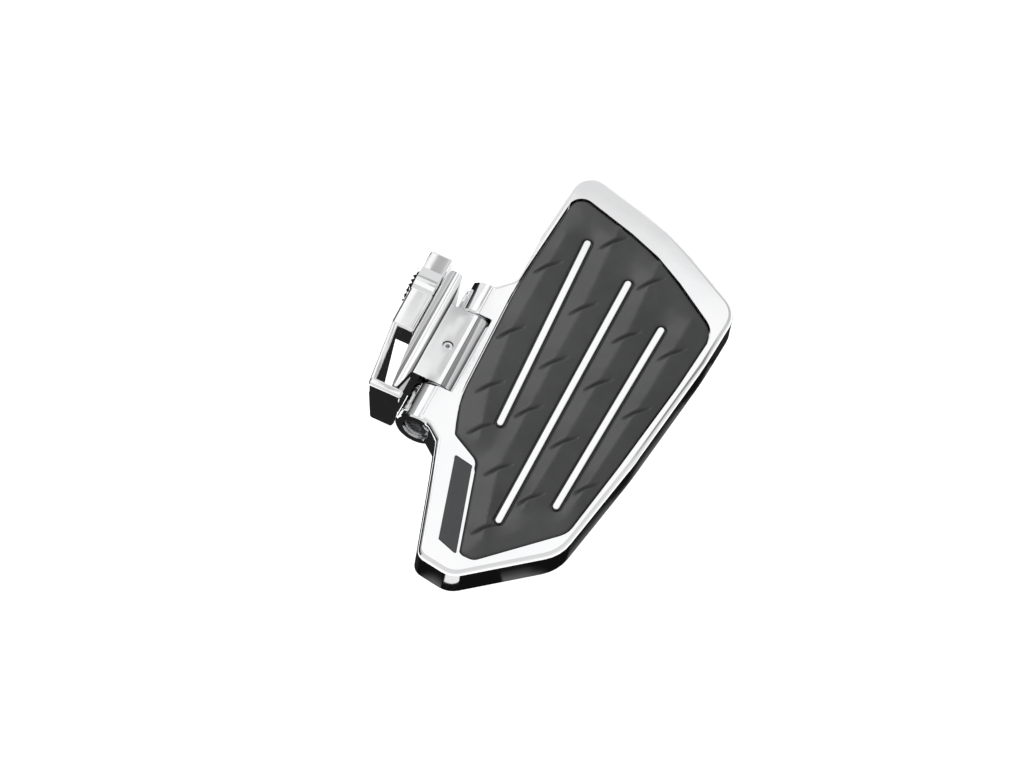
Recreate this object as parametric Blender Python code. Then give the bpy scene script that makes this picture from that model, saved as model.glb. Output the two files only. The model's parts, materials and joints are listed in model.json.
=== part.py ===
"""Folding passenger floorboard for a motorcycle, with its hinge block and serrated adapter bracket.

Run it with: blender --background --python part.py
Frame: the clamp axis is the X axis and the clamp face is X = 0. +X points away from the motorcycle,
+Y runs along the board and +Z is up, square to the board's deck. Lengths are in metres.
"""

import math

import bmesh
import bpy
from mathutils import Matrix, Vector

MM = 0.001

# Fits and gaps
GAP = 0.3 * MM
EDGE_GAP = 0.5 * MM
OVERLAP = 1.0 * MM
CUT_MARGIN = 2.0 * MM

# Fineness of round shapes, and the smallest length and turn that count
SMALL_SIDES = 24
ROUND_SIDES = 32
LARGE_SIDES = 48
COVE_SIDES = 64
ROUND_SEGMENTS = 3
SLOT_END_STEPS = 6
ARC_STEP = math.radians(12)
STRAIGHT_TURN = math.radians(0.5)
CORNER_SHARE = 0.48
TINY = 0.001 * MM

# Edges
EDGE_CHAMFER = 0.8 * MM
FINE_CHAMFER = 0.4 * MM

# Clamp joint of the adapter bracket, on the X axis
RING_OUTER_RADIUS = 16.0 * MM
RING_INNER_RADIUS = 10.5 * MM
RING_TEETH = 36
TOOTH_HEIGHT = 1.8 * MM
TOOTH_BEHIND_LAND = 0.2 * MM
BOSS_RADIUS = 17.5 * MM
CLAMP_BORE_RADIUS = 4.5 * MM
CLAMP_SCREW_RADIUS = 4.0 * MM
CLAMP_HEAD_RADIUS = 6.5 * MM
CLAMP_HEAD_LENGTH = 8.0 * MM
CLAMP_HEAD_POCKET = 7.0 * MM
CLAMP_SOCKET_RADIUS = 3.4 * MM
CLAMP_SOCKET_DEPTH = 4.0 * MM
CLAMP_HEAD_SUNK = 1.0 * MM
LOCK_WASHER_THICKNESS = 1.6 * MM
LOCK_WASHER_RADIUS = 6.4 * MM
CLAMP_THREAD_DEPTH = 7.0 * MM

# Adapter bracket: a top block, and behind it an arm, a foot and a lip
BRACKET_FACE = 2.0 * MM
BRACKET_THICKNESS = 14.5 * MM
BRACKET_TOP_DEPTH = 14.0 * MM
BRACKET_REAR = -30.5 * MM
BRACKET_FRONT = 18.5 * MM
BRACKET_ROUND = 1.6 * MM
ARM_THICKNESS = 3.4 * MM
ARM_SETBACK = 0.2 * MM
ARM_DROP = 0.4 * MM
ARM_DRIFT = 4.6 * MM
ARM_ROUND = 0.7 * MM
FOOT_REAR = -68.5 * MM
FOOT_THICKNESS = 5.0 * MM
FOOT_HEIGHT = 30.0 * MM
FOOT_REACH = 25.0 * MM
FOOT_LEFT_TAPER = 4.3 * MM
FOOT_RIGHT_TAPER = 1.6 * MM
FOOT_ROUND = 1.4 * MM
LIP_LENGTH = 14.0 * MM
LIP_WIDTH = 3.6 * MM
LIP_TIP_WIDTH = 0.5 * MM
LIP_SETBACK = 0.8 * MM
LIP_DROP = 1.5 * MM
LIP_HEIGHT = 20.0 * MM

# Hinge
HINGE_X = 37.5 * MM
HINGE_Y = -29.0 * MM
HINGE_RADIUS = 11.5 * MM
DECK_HEIGHT = 16.0 * MM
BLOCK_HALF_LENGTH = 22.8 * MM
PIN_RADIUS = 4.0 * MM
PIN_HEAD_RADIUS = 6.5 * MM
PIN_HEAD_LENGTH = 6.0 * MM
PIN_SOCKET_RADIUS = 3.0 * MM
PIN_SOCKET_DEPTH = 3.4 * MM
PIN_HEAD_SUNK = 1.5 * MM
BUSH_WALL = 1.6 * MM
THRUST_WASHER_THICKNESS = 0.8 * MM
THRUST_WASHER_RADIUS = 9.0 * MM
LUG_START = BLOCK_HALF_LENGTH + THRUST_WASHER_THICKNESS + 2 * GAP
NUT_RADIUS = 6.6 * MM
NUT_LENGTH = 6.0 * MM
GRUB_RADIUS = 2.5 * MM
GRUB_OFFSET = 4.5 * MM
GRUB_SUNK = 1.2 * MM
GRUB_LENGTH = 4.5 * MM
GRUB_SOCKET_RADIUS = 1.3 * MM
GRUB_SOCKET_DEPTH = 1.8 * MM

# Hinge block and its flange
NECK_LEFT = 24.5 * MM
NECK_ROOT = 4.0 * MM
NECK_DEPTH = 23.0 * MM
FLANGE_DEPTH = 26.0 * MM
FLANGE_ROUND = 0.8 * MM
FLANGE_REAR_TIP = -62.7 * MM
FLANGE_FRONT_TIP = 13.0 * MM
FLANGE_TIP_X = 19.3 * MM
FLANGE_BELLY = 30.0 * MM
FLANGE_FRONT_SWEEP = 21.5 * MM
FLANGE_REAR_SWEEP = 17.0 * MM
COVE_RADIUS = 7.0 * MM
COVE_DEPTH = 1.5 * MM
COVE_SHIFT = 0.6 * MM
STOP_LENGTH = 30.0 * MM
STOP_THICKNESS = 4.5 * MM
STOP_REACH = 12.5 * MM

# Board casting, measured from the hinge axis
LOWER_LUG_END = -46.0 * MM
UPPER_LUG_END = 43.0 * MM
LUG_RADIUS = HINGE_RADIUS - 0.1 * MM
BOARD_DEPTH = 17.4 * MM
BOARD_EDGE_ROUND = 2.6 * MM
WALL = 4.5 * MM
RECESS_DEPTH = 5.0 * MM
DECK_THICKNESS = 3.0 * MM
NOTCH_EDGE = 9.0 * MM
NOTCH_CLEARANCE = 0.5 * MM
DRIVING_ROOM = 9.0 * MM
RIB_WIDTH = 3.5 * MM
UNDER_RIB_WIDTH = 3.0 * MM
UNDER_RIB_DEPTH = 7.0 * MM
UNDER_RIB_OVERRUN = 80.0 * MM

# Rubber pad with its backing plate and studs
PLATE_THICKNESS = 1.5 * MM
PAD_PROUD = 1.2 * MM
PAD_EDGE_ROUND = 1.2 * MM
STUD_RADIUS = 2.5 * MM
STUD_LENGTH = 8.2 * MM
STUD_NUT_RADIUS = 4.6 * MM
STUD_NUT_LENGTH = 4.0 * MM
STUD_WASHER_RADIUS = 5.2 * MM
STUD_WASHER_THICKNESS = 1.0 * MM
GROOVE_LENGTH = 13.0 * MM
GROOVE_WIDTH = 2.6 * MM
GROOVE_DEPTH = 1.3 * MM
GROOVE_ANGLE = math.radians(53)
GROOVE_SIDES = 8
GROOVE_RINGS = 6

# Badge plate, left bare
BADGE_THICKNESS = 1.2 * MM
BADGE_RECESS = 1.5 * MM
BADGE_ROUND = 0.2 * MM

# Outlines are corners (x, y, corner radius) in millimetres from the hinge axis
BOARD_CORNERS = [
    (-1, LOWER_LUG_END / MM + 0.3, 0), (5, LOWER_LUG_END / MM, 9), (13, LOWER_LUG_END / MM - 6.5, 3),
    (17.2, -65.5, 60), (32.6, -117.6, 7), (53, -120.7, 12), (96.5, -83, 24),
    (107, -18, 200), (114.8, 52, 200), (116.5, 88, 14), (68.5, 114.5, 120),
    (13, 129, 11), (9.3, 82, 120), (9.3, UPPER_LUG_END / MM + 9, 6),
    (2, UPPER_LUG_END / MM + 1, 8), (-1, UPPER_LUG_END / MM - 0.3, 0),
]
SKIRT_CORNERS = BOARD_CORNERS[2:13]
PAD_CORNERS = [
    (13.5, -25.5, 60), (20.5, -45.5, 4), (36.5, -54.5, 7), (51, -107.5, 4), (59, -107.5, 5),
    (94, -71, 13), (100.5, -25, 150), (107.5, 33, 150), (110.5, 71, 13), (68, 99, 120),
    (16, 113.5, 7), (11.3, 49, 200), (12.5, 8, 120),
]
BADGE_CORNERS = [(25.5, -56.5, 0.8), (38.5, -104.5, 0.8), (50.0, -108.5, 0.8), (35.8, -58.5, 0.8)]
RIB_LINES = [((32.5, 88.5), (37.5, -28.5)), ((60.5, 76.5), (60.5, -80.5)), ((86.5, 59.5), (82.5, -59.5))]
STUD_PLACES = [(23.0, 88.0), (97.0, 55.0), (27.0, -20.0), (72.0, -78.0)]
GROOVE_PLACES = [
    (20.5, 66), (20, 22), (24, -12), (30.5, -36),
    (44, 95), (46.5, 52), (46.5, 16), (47, -16), (48, -54), (56.5, -88),
    (70.5, 82), (72.5, 47), (71.5, 15), (70.5, -24), (69, -62),
    (97, 49), (95.5, 9), (91.5, -43),
]
CROSS_RIB_PLACES = [-50, -8, 34, 76]


def clear_scene():
    for old in list(bpy.data.objects):
        bpy.data.objects.remove(old, do_unlink=True)


def new_collection(name):
    collection = bpy.data.collections.new(name)
    bpy.context.scene.collection.children.link(collection)
    return collection


def material(name, colour, roughness, metallic):
    made = bpy.data.materials.new(name)
    made.use_nodes = True
    shader = made.node_tree.nodes["Principled BSDF"]
    shader.inputs["Base Color"].default_value = (*colour, 1.0)
    shader.inputs["Roughness"].default_value = roughness
    shader.inputs["Metallic"].default_value = metallic
    return made


def place(mesh_or_curve, name, collection, parent=None):
    made = bpy.data.objects.new(name, mesh_or_curve)
    collection.objects.link(made)
    if parent is not None:
        made.parent = parent
    return made


def as_cutter(obj):
    obj.hide_render = True
    obj.display_type = "WIRE"
    return obj


def rounded(corners, scale=MM):
    """The outline through these corners, each rounded by its own radius, as a list of points."""
    points = []
    count = len(corners)
    for index, (x, y, radius) in enumerate(corners):
        here = Vector((x, y)) * scale
        before = Vector(corners[index - 1][:2]) * scale - here
        after = Vector(corners[(index + 1) % count][:2]) * scale - here
        turn = math.pi - before.angle(after)
        if radius == 0 or turn < STRAIGHT_TURN:
            points.append(here)
            continue
        longest = CORNER_SHARE * min(before.length, after.length)
        reach = min(radius * scale * math.tan(turn / 2), longest)
        fillet = reach / math.tan(turn / 2)
        middle_way = (before.normalized() + after.normalized()).normalized()
        centre = here + middle_way * (fillet / math.cos(turn / 2))
        first = here + before.normalized() * reach - centre
        last = here + after.normalized() * reach - centre
        sweep = first.angle_signed(last)
        steps = max(2, math.ceil(abs(sweep) / ARC_STEP))
        for step in range(steps + 1):
            spoke = first.copy()
            spoke.rotate(Matrix.Rotation(-sweep * step / steps, 2))
            points.append(centre + spoke)
    return points


def grown(points, amount):
    """The outline moved outwards by this amount, or inwards if it is negative."""
    area = sum(a.x * b.y - b.x * a.y for a, b in zip(points, points[1:] + points[:1]))
    side = 1 if area > 0 else -1
    moved = []
    for index, here in enumerate(points):
        before = (here - points[index - 1]).normalized()
        after = (points[(index + 1) % len(points)] - here).normalized()
        normal_before = Vector((before.y, -before.x)) * side
        normal_after = Vector((after.y, -after.x)) * side
        middle_way = (normal_before + normal_after).normalized()
        moved.append(here + middle_way * (amount / max(0.5, middle_way.dot(normal_before))))
    return moved


def inset(corners, amount):
    """The corners of an outline that lies this far inside, with their radii made smaller."""
    moved = grown([Vector(corner[:2]) for corner in corners], -amount / MM)
    return [(point.x, point.y, max(corner[2] - amount / MM, 1.0)) for point, corner in zip(moved, corners)]


def slot_points(start, end, half_width):
    """A straight slot with round ends, from one centre to the other."""
    start, end = Vector(start) * MM, Vector(end) * MM
    along = (end - start).normalized()
    across = Vector((-along.y, along.x)) * half_width
    points = []
    for centre, turn in ((end, -math.pi / 2), (start, math.pi / 2)):
        for step in range(SLOT_END_STEPS + 1):
            angle = turn + math.pi * step / SLOT_END_STEPS
            points.append(centre + along * half_width * math.cos(angle) + across * math.sin(angle))
    return points


def plate_mesh(name, points, low, high, round_top=0.0, round_low=0.0):
    """A flat outline of this thickness, with its upper and lower edges rounded."""
    mesh = bpy.data.meshes.new(name)
    shape = bmesh.new()
    rims = [[shape.verts.new((point.x, point.y, height)) for point in points] for height in (low, high)]
    for rim in rims:
        shape.faces.new(rim)
    for index in range(len(points)):
        shape.faces.new((rims[0][index - 1], rims[0][index], rims[1][index], rims[1][index - 1]))
    bmesh.ops.recalc_face_normals(shape, faces=shape.faces)
    for rim, radius in ((rims[1], round_top), (rims[0], round_low)):
        if radius:
            edges = [shape.edges.get((rim[index - 1], rim[index])) for index in range(len(rim))]
            round_edges(shape, edges, radius)
    shape.to_mesh(mesh)
    shape.free()
    return mesh


def round_edges(shape, edges, radius, segments=ROUND_SEGMENTS):
    bmesh.ops.bevel(shape, geom=edges, offset=radius, segments=segments, profile=0.5, affect="EDGES")


def box_mesh(name, low, high, rounding=0.0):
    """A box between two corners, with rounded edges."""
    mesh = bpy.data.meshes.new(name)
    shape = bmesh.new()
    bmesh.ops.create_cube(shape, size=1.0)
    low, high = Vector(low), Vector(high)
    bmesh.ops.scale(shape, verts=shape.verts, vec=high - low)
    bmesh.ops.translate(shape, verts=shape.verts, vec=(high + low) / 2)
    if rounding:
        round_edges(shape, list(shape.edges), rounding)
    shape.to_mesh(mesh)
    shape.free()
    return mesh


def rod_mesh(name, radius, start, end, sides=ROUND_SIDES, end_radius=None, chamfer=0.0):
    """A cylinder or cone between two points."""
    mesh = bpy.data.meshes.new(name)
    shape = bmesh.new()
    start, end = Vector(start), Vector(end)
    along = end - start
    turn = along.to_track_quat("Z", "Y").to_matrix().to_4x4()
    tip = radius if end_radius is None else end_radius
    bmesh.ops.create_cone(
        shape, cap_ends=True, segments=sides, radius1=radius, radius2=tip, depth=along.length,
        matrix=Matrix.Translation((start + end) / 2) @ turn,
    )
    if chamfer:
        rims = [e for e in shape.edges if any(len(f.verts) > 4 for f in e.link_faces)]
        round_edges(shape, rims, chamfer, 1)
    shape.to_mesh(mesh)
    shape.free()
    return mesh


def combine(obj, other, operation):
    step = obj.modifiers.new(operation.lower(), "BOOLEAN")
    step.operation = operation
    step.solver = "EXACT"
    step.object = other
    return step


class Workshop:
    """Makes the parts and keeps the cutters apart from them."""

    def __init__(self):
        self.parts = new_collection("passenger_floorboard")
        self.cutters = new_collection("cutters")
        self.chrome = material("chrome", (0.80, 0.80, 0.82), 0.08, 1.0)
        self.rubber = material("rubber", (0.055, 0.057, 0.06), 0.55, 0.0)
        self.badge = material("badge_grey", (0.06, 0.06, 0.065), 0.4, 0.2)
        self.steel = material("steel", (0.55, 0.56, 0.58), 0.3, 1.0)
        self.bronze = material("bronze", (0.55, 0.42, 0.22), 0.4, 1.0)
        self.fold = bpy.data.objects.new("fold_axis", None)
        self.fold.location = (HINGE_X, HINGE_Y, DECK_HEIGHT - HINGE_RADIUS)
        self.parts.objects.link(self.fold)

    def part(self, name, mesh, finish, on_board=False):
        """A named part. A part of the board has the fold axis as its origin."""
        made = place(mesh, name, self.parts, self.fold if on_board else None)
        mesh.materials.append(finish)
        mesh.shade_smooth()
        mesh.set_sharp_from_angle(angle=math.radians(30))
        return made

    def cut(self, obj, mesh):
        self.modify(obj, mesh, "DIFFERENCE")

    def add(self, obj, mesh):
        self.modify(obj, mesh, "UNION")

    def modify(self, obj, mesh, operation):
        tool = as_cutter(place(mesh, obj.name + "_tool", self.cutters, obj.parent))
        combine(obj, tool, operation)


def toothed_ring_mesh():
    """The serrated ring: a turned ring whose face is raised along every second spoke."""
    profile = [
        (RING_OUTER_RADIUS, TOOTH_HEIGHT), (RING_OUTER_RADIUS, BRACKET_FACE + OVERLAP),
        (RING_INNER_RADIUS, BRACKET_FACE + OVERLAP), (RING_INNER_RADIUS, TOOTH_HEIGHT),
    ]
    mesh = bpy.data.meshes.new("serrated_ring")
    shape = bmesh.new()
    knots = [shape.verts.new((x, 0.0, radius)) for radius, x in profile]
    edges = [shape.edges.new((a, b)) for a, b in zip(knots, knots[1:] + knots[:1])]
    spokes = 2 * RING_TEETH
    bmesh.ops.spin(
        shape, geom=knots + edges, cent=(0, 0, 0), axis=(1, 0, 0),
        angle=math.tau, steps=spokes, use_merge=True,
    )
    bmesh.ops.remove_doubles(shape, verts=shape.verts, dist=TINY)
    for vert in shape.verts:
        spoke = round(math.atan2(vert.co.y, vert.co.z) / math.tau * spokes)
        if vert.co.x < TOOTH_HEIGHT + TINY and spoke % 2 == 0:
            vert.co.x = TOOTH_BEHIND_LAND
    bmesh.ops.triangulate(shape, faces=shape.faces)
    bmesh.ops.recalc_face_normals(shape, faces=shape.faces)
    shape.to_mesh(mesh)
    shape.free()
    return mesh


def adapter_bracket(shop):
    """The cast bracket: a top block and clamp boss, a thin arm behind them and a hooked foot."""
    face, back = BRACKET_FACE, BRACKET_THICKNESS
    top = DECK_HEIGHT
    low_corner = (face, BRACKET_REAR, top - BRACKET_TOP_DEPTH)
    block = box_mesh("block", low_corner, (back, BRACKET_FRONT, top), BRACKET_ROUND)
    bracket = shop.part("adapter_bracket", block, shop.chrome)
    boss_start, boss_end = (face - GAP, 0, 0), (back - GAP, 0, 0)
    shop.add(bracket, rod_mesh("boss", BOSS_RADIUS, boss_start, boss_end, LARGE_SIDES, chamfer=EDGE_CHAMFER))
    shop.add(bracket, arm_mesh(face, top))
    shop.add(bracket, foot_mesh(face, top))
    shop.add(bracket, lip_mesh(top))
    shop.add(bracket, toothed_ring_mesh())
    land_radius = RING_INNER_RADIUS + OVERLAP / 2
    shop.add(bracket, rod_mesh("land", land_radius, (0, 0, 0), (face + OVERLAP, 0, 0), LARGE_SIDES))
    pocket_depth = CLAMP_HEAD_SUNK + CLAMP_HEAD_LENGTH + LOCK_WASHER_THICKNESS + 2 * GAP
    shop.cut(bracket, rod_mesh("pocket", CLAMP_HEAD_POCKET, (-CUT_MARGIN, 0, 0), (pocket_depth, 0, 0)))
    shop.cut(bracket, rod_mesh("bore", CLAMP_BORE_RADIUS, (0, 0, 0), (back + CUT_MARGIN, 0, 0)))
    return bracket


def arm_mesh(face, top):
    """The thin arm: it drifts outwards, leans and grows taller on its way back to the foot."""
    mesh = bpy.data.meshes.new("arm")
    shape = bmesh.new()
    bmesh.ops.create_cube(shape, size=1.0)
    front, rear = BRACKET_REAR + BRACKET_ROUND + OVERLAP, FOOT_REAR + OVERLAP
    for vert in shape.verts:
        at_rear, high = vert.co.y < 0, vert.co.z > 0
        x = face + ARM_SETBACK + (ARM_THICKNESS if vert.co.x > 0 else 0.0)
        if at_rear:
            x += ARM_DRIFT + (0.0 if high else FOOT_LEFT_TAPER)
        depth = (FOOT_HEIGHT if at_rear else BRACKET_TOP_DEPTH) - BRACKET_ROUND
        z = top - (ARM_DROP if high else depth)
        vert.co = (x, rear if at_rear else front, z)
    round_edges(shape, list(shape.edges), ARM_ROUND, 2)
    shape.to_mesh(mesh)
    shape.free()
    return mesh


def foot_mesh(face, top):
    """The foot: an upright wall across the end of the arm, narrower towards its lower edge."""
    mesh = bpy.data.meshes.new("foot")
    shape = bmesh.new()
    bmesh.ops.create_cube(shape, size=1.0)
    for vert in shape.verts:
        low = vert.co.z < 0
        left = face + ARM_DRIFT + (FOOT_LEFT_TAPER if low else 0.0)
        right = FOOT_REACH - (FOOT_RIGHT_TAPER if low else 0.0)
        y = FOOT_REAR if vert.co.y < 0 else FOOT_REAR + FOOT_THICKNESS
        vert.co = (right if vert.co.x > 0 else left, y, top - FOOT_HEIGHT if low else top)
    round_edges(shape, list(shape.edges), FOOT_ROUND, 2)
    shape.to_mesh(mesh)
    shape.free()
    return mesh


def lip_mesh(top):
    """The lip: the foot's end turned forwards along the hinge block's neck."""
    rear, front = FOOT_REAR + FOOT_THICKNESS - OVERLAP, FOOT_REAR + LIP_LENGTH
    outer = FOOT_REACH - LIP_SETBACK
    points = [
        Vector((FOOT_REACH - LIP_WIDTH, rear)), Vector((outer, rear)),
        Vector((outer, front)), Vector((outer - LIP_TIP_WIDTH, front)),
    ]
    return plate_mesh("lip", points, top - LIP_HEIGHT, top - LIP_DROP)


def hinge_block(shop):
    """The hinge block: a barrel and neck between the board's lugs, and the flange behind them."""
    top = DECK_HEIGHT
    axis_z = DECK_HEIGHT - HINGE_RADIUS
    rear, front = HINGE_Y - BLOCK_HALF_LENGTH, HINGE_Y + BLOCK_HALF_LENGTH
    barrel = rod_mesh("barrel", HINGE_RADIUS, (HINGE_X, rear, axis_z), (HINGE_X, front, axis_z), LARGE_SIDES)
    block = shop.part("hinge_block", barrel, shop.chrome)
    shop.add(block, box_mesh("neck", (NECK_LEFT - NECK_ROOT, rear, top - NECK_DEPTH), (HINGE_X, front, top)))
    shop.add(block, flange_mesh(top))
    stop_top = axis_z + HINGE_RADIUS - BOARD_DEPTH - GAP
    stop_low = (HINGE_X, HINGE_Y - STOP_LENGTH / 2, stop_top - STOP_THICKNESS)
    stop_high = (HINGE_X + STOP_REACH, HINGE_Y + STOP_LENGTH / 2, stop_top)
    shop.add(block, box_mesh("stop", stop_low, stop_high, EDGE_CHAMFER))
    cove_x = (BRACKET_THICKNESS + NECK_LEFT) / 2 + COVE_SHIFT
    cove_z = top + COVE_RADIUS - COVE_DEPTH
    cove_start = (cove_x, FLANGE_REAR_TIP - CUT_MARGIN, cove_z)
    cove_end = (cove_x, FLANGE_FRONT_TIP + CUT_MARGIN, cove_z)
    shop.cut(block, rod_mesh("cove", COVE_RADIUS, cove_start, cove_end, COVE_SIDES))
    bore_start, bore_end = (HINGE_X, rear - CUT_MARGIN, axis_z), (HINGE_X, front + CUT_MARGIN, axis_z)
    shop.cut(block, rod_mesh("bore", PIN_RADIUS + GAP, bore_start, bore_end))
    grub_x = HINGE_X - GRUB_OFFSET
    grub_low, grub_high = (grub_x, HINGE_Y, axis_z), (grub_x, HINGE_Y, top + CUT_MARGIN)
    shop.cut(block, rod_mesh("grub", GRUB_RADIUS + GAP, grub_low, grub_high))
    thread_end = BRACKET_THICKNESS + GAP + CLAMP_THREAD_DEPTH
    shop.cut(block, rod_mesh("thread", CLAMP_SCREW_RADIUS + GAP, (0, 0, 0), (thread_end, 0, 0)))
    return block


def flange_mesh(top):
    """The flange: it lies against the bracket and narrows to a tip at each end."""
    face = (BRACKET_THICKNESS + GAP) / MM
    tip = FLANGE_TIP_X / MM
    front, rear = FLANGE_FRONT_TIP / MM, FLANGE_REAR_TIP / MM
    neck = NECK_LEFT / MM
    belly = FLANGE_BELLY / MM
    rear_sweep, front_sweep = FLANGE_REAR_SWEEP / MM, FLANGE_FRONT_SWEEP / MM
    corners = [
        (face, rear + belly, 30), (tip - 1.5, rear, 1.2), (tip + 1.0, rear, 1.2),
        (neck, rear + rear_sweep, 20), (neck + 1, rear + belly, 0), (neck + 1, front - front_sweep, 20),
        (tip + 3, front, 2), (face + 1.5, front, 2), (face, front - 6, 8),
    ]
    return plate_mesh("flange", rounded(corners), top - FLANGE_DEPTH, top, FLANGE_ROUND, FLANGE_ROUND)


def clamp_screw(shop):
    """The sunk socket screw that holds the bracket to the hinge block, and its lock washer."""
    head_start = CLAMP_HEAD_SUNK
    head_end = head_start + CLAMP_HEAD_LENGTH
    head = rod_mesh("head", CLAMP_HEAD_RADIUS, (head_start, 0, 0), (head_end, 0, 0), chamfer=FINE_CHAMFER)
    screw = shop.part("clamp_screw", head, shop.steel)
    shank_end = BRACKET_THICKNESS + CLAMP_THREAD_DEPTH - GAP
    shop.add(screw, rod_mesh("shank", CLAMP_SCREW_RADIUS, (head_end - OVERLAP, 0, 0), (shank_end, 0, 0)))
    socket_end = (head_start + CLAMP_SOCKET_DEPTH, 0, 0)
    shop.cut(screw, rod_mesh("socket", CLAMP_SOCKET_RADIUS, (0, 0, 0), socket_end, 6))
    washer_start, washer_end = (head_end + GAP, 0, 0), (head_end + GAP + LOCK_WASHER_THICKNESS, 0, 0)
    disc = rod_mesh("washer", LOCK_WASHER_RADIUS, washer_start, washer_end)
    washer = shop.part("clamp_lock_washer", disc, shop.steel)
    shop.cut(washer, rod_mesh("hole", CLAMP_SCREW_RADIUS + GAP, (0, 0, 0), (BRACKET_THICKNESS, 0, 0)))


def turned(shop, name, radius, start, end, finish, bore=None, **shape):
    """A round piece on the hinge axis between two places along it, with a bore if it has one."""
    made = shop.part(name, rod_mesh(name, radius, (0, start, 0), (0, end, 0), **shape), finish, True)
    if bore:
        shop.cut(made, rod_mesh("bore", bore, (0, start - CUT_MARGIN, 0), (0, end + CUT_MARGIN, 0)))
    return made


def hinge_hardware(shop):
    """The pin, its nut, the bushes in the lugs and the thrust washers."""
    head_end = LOWER_LUG_END + PIN_HEAD_SUNK
    shank_start = head_end + PIN_HEAD_LENGTH
    nut_end = UPPER_LUG_END - PIN_HEAD_SUNK
    nut_start = nut_end - NUT_LENGTH
    pin = turned(shop, "hinge_pin", PIN_HEAD_RADIUS, head_end, shank_start, shop.steel, chamfer=FINE_CHAMFER)
    shop.add(pin, rod_mesh("shank", PIN_RADIUS, (0, shank_start - OVERLAP, 0), (0, nut_end - OVERLAP, 0)))
    socket_end = (0, head_end + PIN_SOCKET_DEPTH, 0)
    shop.cut(pin, rod_mesh("socket", PIN_SOCKET_RADIUS, (0, LOWER_LUG_END, 0), socket_end, 6))
    turned(shop, "hinge_nut", NUT_RADIUS, nut_start, nut_end, shop.steel, PIN_RADIUS + GAP, sides=6)
    bush_radius = PIN_RADIUS + GAP + BUSH_WALL
    lower_bush = (shank_start + GAP, -LUG_START - GAP)
    upper_bush = (LUG_START + GAP, nut_start - GAP)
    for name, (start, end) in (("lower_bush", lower_bush), ("upper_bush", upper_bush)):
        turned(shop, name, bush_radius, start, end, shop.bronze, PIN_RADIUS + GAP)
    near, far = BLOCK_HALF_LENGTH + GAP, BLOCK_HALF_LENGTH + GAP + THRUST_WASHER_THICKNESS
    for name, start, end in (("lower_thrust_washer", -far, -near), ("upper_thrust_washer", near, far)):
        turned(shop, name, THRUST_WASHER_RADIUS, start, end, shop.steel, PIN_RADIUS + GAP)


def grub_screw(shop):
    """The small socket screw in the top of the hinge block, which locks the pin."""
    x, top = -GRUB_OFFSET, HINGE_RADIUS - GRUB_SUNK
    body = rod_mesh("grub", GRUB_RADIUS, (x, 0, top - GRUB_LENGTH), (x, 0, top), SMALL_SIDES)
    grub = shop.part("grub_screw", body, shop.steel, True)
    socket_low, socket_high = (x, 0, top - GRUB_SOCKET_DEPTH), (x, 0, HINGE_RADIUS)
    shop.cut(grub, rod_mesh("socket", GRUB_SOCKET_RADIUS, socket_low, socket_high, 6))


def board_casting(shop):
    """The board: a skirted deck with a recess, raised ribs and ribs below, and its two lugs."""
    top = HINGE_RADIUS
    low = top - BOARD_DEPTH
    deck = plate_mesh("deck", rounded(BOARD_CORNERS), low, top, BOARD_EDGE_ROUND)
    board = shop.part("board_casting", deck, shop.chrome, True)
    deck_low = top - RECESS_DEPTH - DECK_THICKNESS
    combine(board, hollow_tool(shop, low, deck_low), "DIFFERENCE")
    lug_spans = (("lower_lug", LOWER_LUG_END, -LUG_START), ("upper_lug", LUG_START, UPPER_LUG_END))
    for name, start, end in lug_spans:
        lug = rod_mesh(name, LUG_RADIUS, (0, start, 0), (0, end, 0), LARGE_SIDES, chamfer=EDGE_CHAMFER)
        shop.add(board, lug)
    notch_low = (-HINGE_RADIUS - CUT_MARGIN, -LUG_START, -HINGE_RADIUS - CUT_MARGIN)
    notch_high = (NOTCH_EDGE, LUG_START, top + CUT_MARGIN)
    shop.cut(board, box_mesh("notch", notch_low, notch_high))
    swing = HINGE_RADIUS + NOTCH_CLEARANCE
    shop.cut(board, rod_mesh("swing", swing, (0, -LUG_START, 0), (0, LUG_START, 0), COVE_SIDES))
    bore_start, bore_end = (0, LOWER_LUG_END - CUT_MARGIN, 0), (0, UPPER_LUG_END + CUT_MARGIN, 0)
    shop.cut(board, rod_mesh("bore", PIN_RADIUS + 2 * GAP + BUSH_WALL, bore_start, bore_end))
    head_end = LOWER_LUG_END + PIN_HEAD_SUNK + PIN_HEAD_LENGTH
    nut_start = UPPER_LUG_END - PIN_HEAD_SUNK - NUT_LENGTH
    for name, radius, start, end in (
        ("head_pocket", PIN_HEAD_RADIUS + EDGE_GAP, LOWER_LUG_END - DRIVING_ROOM, head_end + GAP),
        ("nut_pocket", NUT_RADIUS + EDGE_GAP, nut_start - GAP, UPPER_LUG_END + DRIVING_ROOM),
    ):
        shop.cut(board, rod_mesh(name, radius, (0, start, 0), (0, end, 0)))
    recess = grown(rounded(PAD_CORNERS), EDGE_GAP)
    shop.cut(board, plate_mesh("recess", recess, top - RECESS_DEPTH, top + CUT_MARGIN))
    for index, (start, end) in enumerate(RIB_LINES):
        points = slot_points(start, end, RIB_WIDTH / 2)
        rib = plate_mesh(f"rib_{index}", points, top - RECESS_DEPTH - OVERLAP, top, FINE_CHAMFER)
        shop.add(board, rib)
    badge = grown(rounded(BADGE_CORNERS), GAP)
    shop.cut(board, plate_mesh("badge_recess", badge, top - BADGE_RECESS, top + CUT_MARGIN))
    for x, y in STUD_PLACES:
        hole = rod_mesh("stud_hole", STUD_RADIUS + GAP, (x * MM, y * MM, low), (x * MM, y * MM, top))
        shop.cut(board, hole)
    return board


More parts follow.
